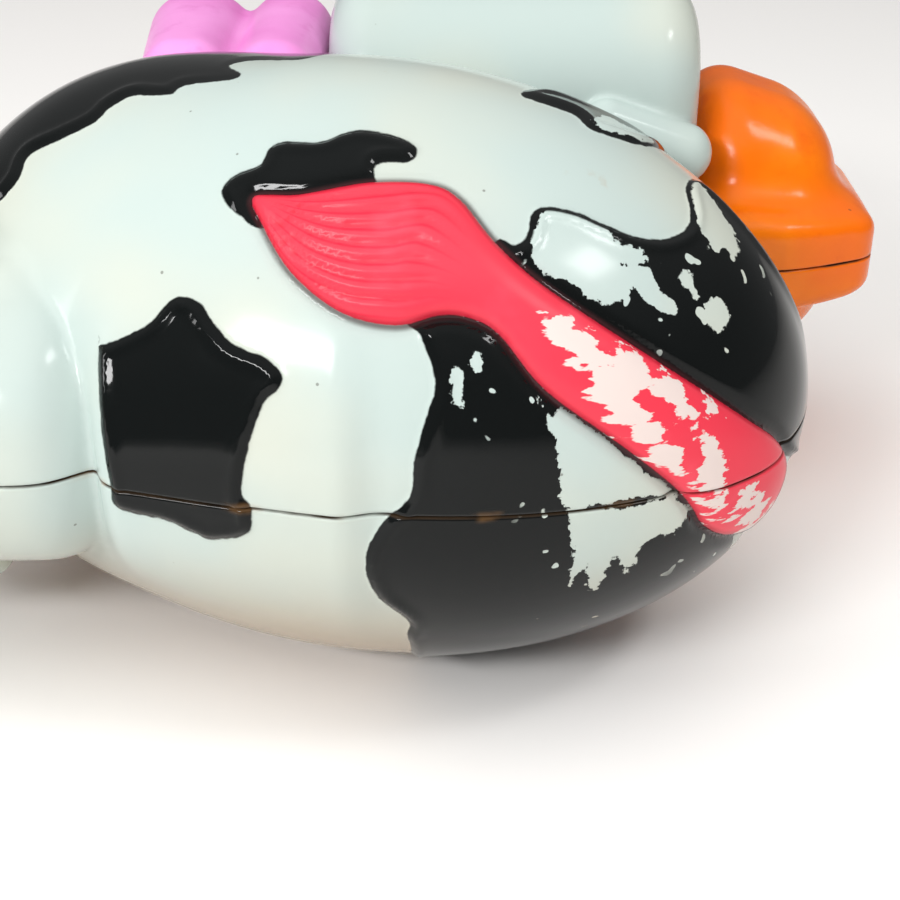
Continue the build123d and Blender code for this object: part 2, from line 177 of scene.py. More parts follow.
def surface_net(shape, low, high, step, half=False):
    """Points and quads of the surface shape = 0. With half, only what is over z = 0, open there."""
    low = np.array(low, float)
    if half:
        low[2] = -step / 2
    counts = np.ceil((np.array(high) - low) / step).astype(int) + 2
    field = sample(shape, [low[i] + step * np.arange(counts[i]) for i in range(3)])
    inside = field < 0
    total = np.zeros(tuple(counts) + (3,))
    hits = np.zeros(tuple(counts))
    crossings = []
    for axis in range(3):
        first = [slice(None)] * 3
        second = [slice(None)] * 3
        first[axis] = slice(0, -1)
        second[axis] = slice(1, None)
        cross = np.argwhere(inside[tuple(first)] != inside[tuple(second)])
        beyond = cross + np.eye(3, dtype=int)[axis]
        here = field[tuple(cross.T)]
        there = field[tuple(beyond.T)]
        at = low + step * cross
        at[:, axis] += step * here / (here - there)
        u, v = [k for k in range(3) if k != axis]
        cells = []
        for du, dv in ((-1, -1), (0, -1), (0, 0), (-1, 0)):
            cell = cross.copy()
            cell[:, u] += du
            cell[:, v] += dv
            cells.append(cell)
            good = (cell >= 0).all(-1)
            np.add.at(total, tuple(cell[good].T), at[good])
            np.add.at(hits, tuple(cell[good].T), 1)
        whole_quads = np.all([(cell >= 0).all(-1) for cell in cells], 0)
        flip = (here < there) if axis != 1 else (here > there)
        crossings.append((np.stack(cells, 1)[whole_quads], flip[whole_quads]))
    used = hits > 0
    index = np.full(tuple(counts), -1)
    index[used] = np.arange(used.sum())
    points = total[used] / hits[used][:, None]
    quads = []
    for cells, flip in crossings:
        quad = index[cells[..., 0], cells[..., 1], cells[..., 2]]
        quad[~flip] = quad[~flip][:, ::-1]
        quads.append(quad)
    rim = (np.argwhere(used)[:, 2] == 0) & half
    for _ in range(3):
        points[rim, 2] = 0
        points -= shape(points)[:, None] * gradient(shape, points)
    points[rim, 2] = 0
    return points, np.concatenate(quads), rim


def quad_edges(quads):
    return np.concatenate([quads[:, [0, 1]], quads[:, [1, 2]], quads[:, [2, 3]], quads[:, [3, 0]]])


def relax(shape, points, quads, rim, rounds=3):
    """Evens out the quads by sliding the points along the surface."""
    edges = quad_edges(quads)
    for _ in range(rounds):
        total = np.zeros_like(points)
        count = np.zeros(len(points))
        for a, b in ((0, 1), (1, 0)):
            np.add.at(total, edges[:, a], points[edges[:, b]])
            np.add.at(count, edges[:, a], 1)
        moved = 0.5 * points + 0.5 * total / np.maximum(count, 1)[:, None]
        moved -= shape(moved)[:, None] * gradient(shape, moved)
        moved[rim] = points[rim]
        points = moved
    return points


def make_object(name, points, faces, body, nodes, material, fields=None):
    """A smooth mesh from points in millimetres, riding on a body in place of CAD nodes."""
    mesh = bpy.data.meshes.new(name)
    mesh.from_pydata((points * MM + CENTRE).tolist(), [], [list(map(int, face)) for face in faces])
    mesh.update()
    for key, values in (fields(points) if fields else {}).items():
        layer = mesh.attributes.new(key, "FLOAT", "POINT")
        layer.data.foreach_set("value", np.asarray(values, np.float32))
    mesh.polygons.foreach_set("use_smooth", [True] * len(mesh.polygons))
    mesh.materials.append(material)
    obj = bpy.data.objects.new(name, mesh)
    bpy.context.scene.collection.objects.link(obj)
    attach(obj, body)
    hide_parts(*nodes)
    return obj


def whole(name, shape, low, high, step, body, nodes, material, fields=None):
    """A closed piece from a distance function."""
    points, quads, rim = surface_net(shape, low, high, step)
    points = relax(shape, points, quads, rim)
    return make_object(name, points, quads, body, nodes, material, fields)


GROOVE_TOP = 0.30        # the parting groove, to one side of the parting plane
GROOVE_FLOOR = 0.07
GROOVE_DEPTH = 0.45


def half_shell(
    name, shape, low, high, step, side, body, nodes, material, relief=None, fields=None
):
    """One of two shells that meet on the parting plane, closed there, with a groove along its edge."""
    points, quads, rim = surface_net(shape, low, high, step, half=True)
    points = relax(shape, points, quads, rim)
    normal = gradient(shape, points)
    points[rim, 2] = GROOVE_TOP
    if side < 0:
        points = points * np.array([1, 1, -1])
        normal = normal * np.array([1, 1, -1])
        quads = quads[:, ::-1]
    if relief:
        points = points + normal * relief(points)[:, None]
    edges = quad_edges(quads)
    edges = edges[rim[edges[:, 0]] & rim[edges[:, 1]]].tolist()
    paired = {tuple(edge) for edge in edges}
    follow = {a: b for a, b in edges if (b, a) not in paired}
    flat = normal[:, :2] / np.maximum(np.linalg.norm(normal[:, :2], axis=-1, keepdims=True), 1e-9)
    floor_index = {a: len(points) + i for i, a in enumerate(follow)}
    inner = [[*(points[a, :2] - GROOVE_DEPTH * flat[a]), side * GROOVE_FLOOR] for a in follow]
    faces = quads.tolist()
    faces += [[b, a, floor_index[a], floor_index[b]] for a, b in follow.items()]
    left = set(follow)
    while left:
        loop = []
        at = min(left)
        while at in left:
            left.discard(at)
            loop.append(floor_index[at])
            at = follow[at]
        faces.append(loop[::-1])
    points = np.concatenate([points, np.array(inner)])
    return make_object(name, points, faces, body, nodes, material, fields)


# ---- shapes of the suit ---------------------------------------------------------------------
LEAN = math.radians(-15)
EGG = (73.0, 48.6, 49.5)                 # half sizes
CHEST = (-31, 15, 0)
CHEST_RADII = (44.5, 44.5, 44.5)
NECK_Y = -19.0
NECK_END = -80.0
NECK_RADIUS = 24.0
CREASE_X = -36.5                         # where the neck tucks in behind the chest
CREASE_DEPTH = 5.2
CREASE_WIDTH = 6.3
COLLAR_RADIUS = 23.8
COLLAR_FLARE = 0.225
LEG_RIGHT = 61.0
LEG_HALF = (34.5, 25, 21.25)
LEG_Y = 65
LEG_Z = 28.25
LEG_CORNER = 18
LEG_EDGE = 8.5


def egg(p):
    x = p[..., 0] * math.cos(LEAN) + p[..., 1] * math.sin(LEAN)
    y = -p[..., 0] * math.sin(LEAN) + p[..., 1] * math.cos(LEAN)
    return ellipsoid(np.stack([x, y, p[..., 2]], -1), (0, 0, 0), EGG)


def rounded_rod(p, radius, start, end, edge):
    """A rod along X on the neck's axis, with rounded ends."""
    around = length(p[..., 1] - NECK_Y, p[..., 2]) - radius + edge
    ends = np.maximum(start - p[..., 0], p[..., 0] - end) + edge
    rounded = length(np.maximum(around, 0), np.maximum(ends, 0))
    return rounded + np.minimum(np.maximum(around, ends), 0) - edge


def torso(p):
    """The egg and the full chest, filled out behind up to the neck."""
    shape = blend_union(egg(p), ellipsoid(p, CHEST, CHEST_RADII), 8)
    collar_radius = COLLAR_RADIUS + COLLAR_FLARE * (p[..., 0] + 35)
    collar = rounded_rod(p, collar_radius, CREASE_X, 0, 2.5)
    return blend_union(shape, collar, 6)


def neck(p):
    tuck = np.exp(-(((p[..., 0] - CREASE_X) / CREASE_WIDTH) ** 2))
    radius = NECK_RADIUS - CREASE_DEPTH * tuck
    return rounded_rod(p, radius, NECK_END, -30, 1.5)


def shoulder(p):
    """The boss that carries each wing."""
    return rounded_box(both_sides(p), (-58.5, -17, 17), (13, 8.5, 8.8), 6)


def leg(p):
    q = both_sides(p)
    along = q[..., 0] - LEG_RIGHT + LEG_HALF[0]
    block = rounded_prism(
        along, q[..., 1] - LEG_Y, q[..., 2] - LEG_Z, LEG_HALF, LEG_CORNER, LEG_EDGE
    )
    roll = capsule(q, (43, 38.5, 28), (57.3, 40, 22), 4.6, 5.6)
    return blend_union(block, roll, 1.0)


def suit(p):
    body = blend_union(torso(p), neck(p), 0.9)
    body = blend_union(body, shoulder(p), 2.5)
    return blend_union(body, leg(p), 3)


# ---- markings: outlines on the flank plane, u along x and w up the flank ----------------------
TAIL_UPPER = [
    (-13.2, 19.7), (-6.5, 19.8), (3.3, 21.4), (11.7, 21.1), (16, 18.8), (21, 12.4), (28.3, 6),
    (42.5, -2.9), (56.8, -10.9), (63.6, -14.5),
]
TAIL_ROOT = [(66.2, -18.4), (65, -24), (61, -28), (56, -28.8), (52, -27), (50, -24.5)]
TAIL_LOWER = [
    (46.5, -21.1), (38.4, -15.3), (27.6, -7.8), (21.3, -0.3), (17.2, 2), (13.1, 2.4), (7, 1),
    (-0.6, 2.9), (-7.6, 8.6), (-11.8, 15.5),
]
CHEST_SPOT = [
    (-52.1, 25.6), (-50.8, 29.8), (-45.7, 31.8), (-41.6, 33.5), (-39.4, 35.1), (-38.1, 37),
    (-35, 39), (-32, 38.8), (-28.4, 38.6), (-26.5, 40.4), (-19.3, 40.9), (-17.9, 42.2),
    (-20.4, 44.6), (-17, 46), (-7, 46.2), (-3, 58), (-70, 58), (-72, 30), (-63, 22), (-56, 22),
]
BACK_SPOT = [
    (-18, 21.1), (-16.2, 23.3), (-12.7, 24.7), (-11.4, 27.4), (-9.2, 28.3), (-4.1, 28.1),
    (-0.6, 29.6), (3, 29.9), (8, 28.4), (9.8, 26.6), (8.6, 24.7), (3.9, 24.2), (3.3, 18),
    (-11, 15), (-15.1, 17.1), (-17, 18.7),
]
SADDLE_SPOT = [
    (-36, 0), (-35, -0.9), (-28.4, 1.8), (-25.2, 5), (-22.8, 5.6), (-20.4, 4.4), (-18.4, 1.6),
    (-15.5, -1.4), (-11.2, -3.2), (-8.8, -5.4), (-9.1, -7.4), (-11, -9), (-12.4, -11.8),
    (-14.2, -17.4), (-15, -22.2), (-13.8, -24), (-14.6, -28), (-20.1, -29), (-22.6, -28.2),
    (-27, -26.2), (-34.2, -24.4), (-34.8, -20.5), (-35.6, -12),
]
HIP_SPOT = [
    (9, 2), (10.4, -0.3), (12, -4.4), (12.4, -7.8), (11.1, -11.9), (9.6, -17.4), (9.2, -21.6),
    (8, -23.6), (5.6, -25.6), (3.4, -28.6), (2.4, -31.5), (2.6, -35), (4.4, -38.4), (8.3, -42),
    (8.2, -46), (14, -56), (60, -56), (80, -36), (72, -22), (60, -20), (30, 4), (18, 6),
]
RUMP_SPOT = [
    (20, 8), (21, 13.1), (23.5, 12.4), (25.2, 13.7), (25.9, 16.8), (27.9, 18.2), (32.2, 17.6),
    (36.4, 15.9), (40.6, 14.4), (45, 14.2), (48.6, 16), (49.9, 18.7), (50, 23.4), (52, 25.7),
    (55, 24.4), (60, 19.4), (66, 12), (72, 2), (73, -8), (70, -17), (50, -12), (30, -2),
]
FLANK_SPOT = [
    (25.5, 37.8), (28, 40.4), (32.1, 40.6), (38.4, 38.2), (47.8, 34.8), (53.5, 30.6),
    (48, 31.4), (43.8, 30.6), (40, 31), (35.6, 32.2), (33, 35),
]
UNDER_SPOTS = [(-30, -6, 14, 10), (24, -6, 15, 9), (-8, 20, 9, 8)]    # far flank: u, w, radii
LEG_SPOT = (39, 87, 46)                                               # its middle, on the leg's edge
LEG_SPOT_RADIUS = 9.5

# where the paint has rubbed off, down to the white plastic
WORN = [
    [(26.6, 15.4), (28.2, 17.5), (32.1, 17), (36.2, 15.2), (38.6, 12.8), (41.8, 12), (42, 10.6),
     (38, 9.8), (42.5, 9.6), (44.3, 6.6), (46.6, 4.6), (45.6, 3), (42.4, 5), (40.4, 6.6),
     (39.6, 5.2), (37.2, 4.6), (33.6, 4.8), (31.6, 7.2), (27.6, 8.6), (25.8, 11.6)],
    [(51, 24.6), (53.6, 23.8), (55.8, 19.4), (57.4, 16), (56.6, 12), (55.4, 13.4), (52.6, 13.6),
     (51, 17.4)],
    [(26.6, -8.8), (28.6, -11.4), (30, -10), (34, -13), (39, -16.6), (44, -20.2), (47.4, -22.4),
     (41, -23), (35.6, -23.8), (30.4, -23.8), (30, -19), (28.8, -14)],
    [(31, -24.4), (38, -24.6), (47, -23), (49.5, -25.5), (46.8, -28), (43, -29.6), (40.6, -34),
     (38.6, -31.5), (36, -37.5), (34.6, -32.6), (32, -36), (32.6, -30.5)],
    [(59, -29), (64, -26), (70, -22), (66, -34), (60, -38)],
    [(36.5, 33), (38.4, 36), (42, 34.8), (47, 31.8), (43, 31.6)],
    [(18, -2.6), (19, -3.8), (18.4, -5.2), (17.4, -4)],
    [(50.6, 3.8), (53, 6.2), (54.8, 3.4), (52.8, 0.8)],
    [(47.4, 8.8), (48.4, 9.6), (50, 6.2), (49, 5.4)],
    [(14.8, -5.2), (16, -5), (16.4, -9.6), (15.2, -9.8)],
]
TAIL_WORN = [
    [(28, 0.8), (31, 1.4), (35, -2), (41, -3.8), (48, -9), (50.6, -12), (46, -10.4), (41, -7.4),
     (43, -11), (47.4, -18), (49.6, -21), (46, -20), (41.6, -15.4), (35.6, -10.6), (33, -6.4)],
    [(38, -2.4), (43, -4.6), (49, -8.4), (52, -10.4), (46, -8)],
    [(50, -14.6), (53, -16), (54, -20.6), (50.8, -21)],
    [(50.4, -23.4), (54.4, -23.6), (53, -25), (51, -24.8)],
    [(57, -24), (61, -22.4), (63, -25), (59, -28.4)],
]


def flank_view(p):
    """Flank plane coordinates, and how squarely the surface faces the flank."""
    uw = np.stack([p[..., 0], 0.5 * p[..., 1] + 0.866 * p[..., 2]], -1)
    facing = gradient(suit, p) @ np.array([0, -0.866, 0.5])
    return uw, facing


def nearest(uw, outlines, steps=6):
    """Distance to the nearest of several outlines."""
    found = np.full(len(uw), 1e3)
    for outline in outlines:
        found = np.minimum(found, polygon_distance(uw, curve_through(outline, steps=steps)))
    return found


def markings(p):
    """Signed distances to the spots, the tail and the worn places, and the place across the tail."""
    uw, facing = flank_view(p)
    wave = 3 * np.sin(p[..., 0] / 5) + 2 * np.sin(p[..., 1] / 3.1)
    ahead = (0.05 - facing) * 40
    around = (-0.5 - facing) * 40 + wave
    spot = np.maximum(nearest(uw, [CHEST_SPOT, HIP_SPOT, RUMP_SPOT, FLANK_SPOT]), around)
    spot = np.minimum(spot, np.maximum(nearest(uw, [BACK_SPOT, SADDLE_SPOT]), ahead))
    for u, w, along, across in UNDER_SPOTS:
        reach = length((uw[:, 0] - u) / along, (uw[:, 1] - w) / across)
        turn = np.arctan2(uw[:, 1] - w, uw[:, 0] - u)
        blob = (reach - 1 - 0.13 * np.sin(3 * turn + u) - 0.08 * np.sin(5 * turn)) * across
        spot = np.minimum(spot, np.maximum(blob, (facing + 0.45) * 40))
    off_leg = torso(p) - leg(p) - 0.5
    off_neck = torso(p) - np.minimum(neck(p), shoulder(p)) - 0.4
    spot = np.maximum(spot, 2 * np.maximum(off_leg, off_neck))
    leg_blob = np.linalg.norm(p - np.array(LEG_SPOT), axis=-1) - LEG_SPOT_RADIUS
    spot = np.minimum(spot, leg_blob + 0.3 * wave)
    tail = polygon_distance(uw, curve_through(TAIL_UPPER + TAIL_ROOT + TAIL_LOWER))
    tail = np.maximum(tail, ahead)
    upper = path_distance(uw, curve_through(TAIL_UPPER, closed=False))
    lower = path_distance(uw, curve_through(TAIL_LOWER + TAIL_UPPER[:1], closed=False))
    worn = np.where(tail < 0, nearest(uw, TAIL_WORN, 3), nearest(uw, WORN, 3))
    from_tip = np.linalg.norm(uw - TAIL_UPPER[0], axis=-1)
    hair = smoothstep(from_tip, 2, 7) * smoothstep(from_tip, 33, 22)
    strand = lower / (upper + lower + 1e-6) + 0.05 * np.sin(from_tip / 6)
    return {"spot": spot, "tail": tail, "worn": worn, "strand": strand, "hair": hair}


STRANDS = 8


def suit_relief(p):
    """How far the tail and spots stand out of the shell."""
    marks = markings(p)
    spot, tail = marks["spot"], marks["tail"]
    cushion = 0.55 * smoothstep(-spot, -0.2, 1.5) + 0.35 * np.exp(-(((spot + 1.2) / 0.8) ** 2))
    cushion = cushion * smoothstep(tail, 0, 2.5) * smoothstep(np.abs(p[:, 2]), 48.5, 44)
    round_over = np.clip(-tail / 6, 0, 1)
    raised = 2.6 * np.sqrt(round_over * (2 - round_over)) * (tail < 0)
    grooves = np.abs(np.sin(STRANDS * math.pi * marks["strand"])) ** 0.6 - 1
    ditch = 0.35 * np.exp(-(((tail - 0.7) / 0.6) ** 2))
    return cushion + raised + 1.0 * marks["hair"] * grooves * smoothstep(-tail, 0.4, 2) - ditch


# ---- shapes of the other pieces ---------------------------------------------------------------
def foot(p):
    x = p[..., 0]
    y = p[..., 1]
    z = np.abs(p[..., 2])
    lobe_x = x + 8.5 * smoothstep(-p[..., 2], 0, 12)
    width = np.interp(lobe_x, [60, 64, 92], [31.5, 31.5, 22])
    lobe = rounded_prism(lobe_x - 76, y - 66.5, z * (27 / width), (14.8, 20.5, 27), 17, 11) * 0.8
    heel = rounded_box(np.stack([x, y, z], -1), (80, 56, 0), (17, 21.5, 11.5), 6.5)
    slant = (34.6 + 0.42 * np.maximum(x - 78, 0) - y) * 0.9
    heel = blend_cut(heel, slant, 4.5)
    under = z - 11.2 + 0.12 * np.maximum(x - 72, 0)
    heel = blend_cut(heel, under, 4)
    return np.maximum(blend_union(lobe, heel, 6), LEG_RIGHT + 0.05 - x)


def udder(p):
    flare = 0.1 * (80 - p[..., 1]) * np.clip((-24 - p[..., 0]) / 18, 0, 1)
    q = p - np.stack([flare, 0 * flare, 0 * flare], -1)
    shape = blend_union(
        rounded_box(q, (-35.2, 57, 0), (10.9, 25, 43), 9),
        rounded_box(q, (-17, 57, 0), (8.4, 25, 43), 8),
        3.5,
    )
    for x in (-35.2, -18):
        for z in (-21.5, 21.5):
            shape = blend_union(shape, capsule(p, (x, 78, z), (x, 85.4, z), 4.8, 3.8), 3)
    return np.maximum(shape, 0.05 - torso(p))


def head(p):
    ball = ellipsoid(p, (-106, -16, 0), (29, 31, 31))
    cheeks = ellipsoid(both_sides(p), (-100, -4, 15), (13, 14, 12))
    shape = blend_union(ball, cheeks, 6)
    shape = blend_union(shape, capsule(p, (-84, -19, 0), (-90, -17, 0), 20), 5)
    return np.maximum(shape, p[..., 0] - (NECK_END - 0.3))


def head_spot(p):
    """Two cow spots on the hood."""
    first = length(p[:, 0] + 118, p[:, 1] + 30, (p[:, 2] - 14) * 0.8) - 15
    second = length(p[:, 0] + 96, (p[:, 1] + 40) * 0.8, p[:, 2] + 16) - 13
    wave = 1.6 * np.sin(p[:, 0] / 2.9) * np.cos(p[:, 2] / 3.3)
    far = np.full(len(p), 9.0)
    spot = np.minimum(first, second) + wave
    return {"spot": spot, "tail": far, "worn": far, "strand": far * 0, "hair": far * 0}


def head_relief(p):
    return 0.3 * smoothstep(-head_spot(p)["spot"], -0.2, 1.5)


def wing(p):
    """Three feathers that fan out from a round root, p with z up from the wing's inner face."""
    shape = capsule(p, (-66, -16, 3), (-67, -16, 3), 6.2)
    for turn, reach in ((-0.4, 9.6), (0, 11.8), (0.4, 9.6)):
        tip = (-67 - reach * math.cos(turn), -16 + reach * math.sin(turn) * 1.2, 3)
        shape = blend_union(shape, capsule(p, (-67, -16, 3), tip, 5.2, 2.9), 0.7)
    flat = np.abs(p[..., 2] - 3) - 2.7
    return blend_cut(shape, flat, 1.6)


WING_FACE = 26.35


def wing_left(p):
    return wing(p - np.array([0, 0, WING_FACE]))


def wing_right(p):
    return wing(p * np.array([1, 1, -1]) - np.array([0, 0, WING_FACE]))


def beak_upper(p):
    shape = ellipsoid(p, (-111, 13, 0), (8.5, 12, 11.5))
    shape = blend_union(shape, capsule(p, (-110, 17, 0), (-104.5, 41, 0), 6.6, 2.4), 5)
    shape = blend_union(shape, capsule(p, (-104.5, 41, 0), (-101.5, 42.5, 0), 2.3, 1.6), 2)
    nostril = capsule(both_sides(p), (-113, 26, 4.4), (-110.5, 29, 4), 0.9)
    return np.maximum(np.maximum(shape, -nostril), 0.05 - head(p))


def beak_lower(p):
    shape = ellipsoid(p, (-98, 12, 0), (4.8, 10, 8.6))
    shape = blend_union(shape, capsule(p, (-98, 16, 0), (-98, 33.5, 0), 4, 1.6), 4)
    shape = blend_cut(shape, (-102.2 - p[..., 0]) + 0.02 * p[..., 1], 0.8)
    return np.maximum(np.maximum(shape, 0.05 - head(p)), 0.25 - beak_upper(p))


def comb(p):
    shape = np.full(p.shape[:-1], 50.0)
    for turn, reach in ((152, 30.5), (180, 31), (208, 30.5)):
        angle = math.radians(turn)
        centre = (-106 + reach * math.cos(angle), -16 + reach * math.sin(angle), 0)
        root = (-106 + 22 * math.cos(angle), -16 + 22 * math.sin(angle), 0)
        lobe = capsule(p, root, centre, 6.5, 8.2)
        shape = blend_union(shape, lobe, 1.5)
    slab = np.abs(p[..., 2]) - 2.9
    return np.maximum(blend_cut(shape, slab, 2.2), 0.05 - head(p))


def wattle(p):
    shape = capsule(both_sides(p), (-92, 7.5, 2.6), (-88.4, 12.6, 3.6), 2.6, 3.8)
    return np.maximum(shape, 0.05 - head(p))


def eye_left(p):
    return np.maximum(ellipsoid(p, (-112, 2.6, 23.6), (5.2, 5.2, 5.2)), 0.05 - head(p))


def eye_right(p):
    return eye_left(p * np.array([1, 1, -1]))


def eye_fields(p):
    """Distance from the middle of the eye, over the dome."""
    middle = np.array([-113.5, 6.0, 27.4])
    return {"iris": np.linalg.norm(both_sides(p) - middle, axis=-1)}


# ---- material building ------------------------------------------------------------------------
class Paint:
    """A node material under construction, with short calls for the nodes it needs."""

    def __init__(self, name):
        self.material = bpy.data.materials.new(name)
        self.material.use_nodes = True
        self.tree = self.material.node_tree
        self.shader = self.tree.nodes["Principled BSDF"]
        self.place = self.tree.nodes.new("ShaderNodeTexCoord").outputs["Object"]

    def feed(self, socket, value):
        if isinstance(value, bpy.types.NodeSocket):
            self.tree.links.new(value, socket)
        else:
            socket.default_value = value

    def math(self, operation, a, b=0.0):
        node = self.tree.nodes.new("ShaderNodeMath")
        node.operation = operation
        self.feed(node.inputs[0], a)
        self.feed(node.inputs[1], b)
        return node.outputs[0]

    def step(self, value, low, high):
        """0 at low and 1 at high, smooth between; low may be the larger."""
        node = self.tree.nodes.new("ShaderNodeMapRange")
        node.interpolation_type = "SMOOTHSTEP"
        self.feed(node.inputs["Value"], value)
        if low > high:
            low, high = high, low
            node.inputs["To Min"].default_value = 1
            node.inputs["To Max"].default_value = 0
        node.inputs["From Min"].default_value = low
        node.inputs["From Max"].default_value = high
        return node.outputs["Result"]

    def mix(self, factor, a, b):
        node = self.tree.nodes.new("ShaderNodeMix")
        node.data_type = "RGBA"
        self.feed(node.inputs[0], factor)
        for socket, value in ((node.inputs[6], a), (node.inputs[7], b)):
            self.feed(socket, value if isinstance(value, bpy.types.NodeSocket) else (*value, 1))
        return node.outputs[2]

    def lerp(self, factor, a, b):
        node = self.tree.nodes.new("ShaderNodeMix")
        self.feed(node.inputs[0], factor)
        self.feed(node.inputs[2], a)
        self.feed(node.inputs[3], b)
        return node.outputs[0]

    def field(self, name):
        node = self.tree.nodes.new("ShaderNodeAttribute")
        node.attribute_name = name
        return node.outputs["Fac"]

    def stretched(self, turn, scale):
        """Object coordinates turned about the X axis, then about Z, and scaled."""
        node = self.tree.nodes.new("ShaderNodeMapping")
        node.inputs["Rotation"].default_value = turn
        node.inputs["Scale"].default_value = scale
        self.feed(node.inputs["Vector"], self.place)
        return node.outputs[0]

    def noise(self, size, detail=3.0, roughness=0.5, place=None):
        """Noise with features of about the given size in millimetres, 0 to 1."""
        node = self.tree.nodes.new("ShaderNodeTexNoise")
        self.feed(node.inputs["Vector"], place or self.place)
        node.inputs["Scale"].default_value = 1 / (size * MM)
        node.inputs["Detail"].default_value = detail
        node.inputs["Roughness"].default_value = roughness
        return node.outputs[0]

    def specks(self, size, radius):
        """Small separate specks, 1 inside, on a grid of random cells of the given size."""
        node = self.tree.nodes.new("ShaderNodeTexVoronoi")
        self.feed(node.inputs["Vector"], self.place)
        node.inputs["Scale"].default_value = 1 / (size * MM)
        return self.step(node.outputs["Distance"], radius, radius * 0.6)

    def rise(self):
        """Height in millimetres over the parting plane."""
        node = self.tree.nodes.new("ShaderNodeSeparateXYZ")
        self.feed(node.inputs[0], self.place)
        over = self.math("SUBTRACT", node.outputs["Z"], float(PARTING))
        return self.math("MULTIPLY", over, 1 / MM)

    def height(self):
        """The same without its sign."""
        return self.math("ABSOLUTE", self.rise())

    def bump(self, value, depth):
        node = self.tree.nodes.new("ShaderNodeBump")
        node.inputs["Strength"].default_value = 1
        node.inputs["Distance"].default_value = depth * MM
        self.feed(node.inputs["Height"], value)
        return node.outputs[0]

    def finish(self, colour, rough, normal=None, coat=0.0, specular=0.5):
        self.feed(self.shader.inputs["Base Color"], colour)
        self.feed(self.shader.inputs["Roughness"], rough)
        self.shader.inputs["Coat Weight"].default_value = coat
        self.shader.inputs["Coat Roughness"].default_value = 0.06
        self.shader.inputs["Specular IOR Level"].default_value = specular
        if normal:
            self.feed(self.shader.inputs["Normal"], normal)
        return self.material


WHITE = (0.475, 0.56, 0.53)
CREAM = (0.55, 0.575, 0.50)
BLACK = (0.004, 0.005, 0.005)
RED = (0.78, 0.044, 0.075)
FADED_RED = (0.9, 0.12, 0.17)
# painted shade for the grooves of the tail's tuft
GROOVE_SHADE_RED = (0.70, 0.02, 0.05)
BARE_TAIL = (0.74, 0.62, 0.58)
TAIL_SHADE = (0.05, 0.012, 0.014)
# painted reflection of a warm table, with painted shade, for the underside
TABLE_REFLECTION_TAN = (0.32, 0.21, 0.125)
DEEP_RED = (0.55, 0.012, 0.035)
GRIME = (0.045, 0.028, 0.016)
RUST = (0.42, 0.21, 0.07)


def seam_grime(paint, colour):
    """Dirt in the parting groove, heavier in places."""
    height = paint.height()
    patchy = paint.noise(9, 2)
    deep = paint.step(height, 0.40, 0.12)
    colour = paint.mix(paint.math("MULTIPLY", deep, paint.step(patchy, 0.2, 0.55)), colour, GRIME)
    stained = paint.step(paint.noise(14, 4), 0.58, 0.75)
    smear = paint.math("MULTIPLY", paint.step(height, 1.3, 0.2), stained)
    return paint.mix(paint.math("MULTIPLY", smear, 0.5), colour, RUST)


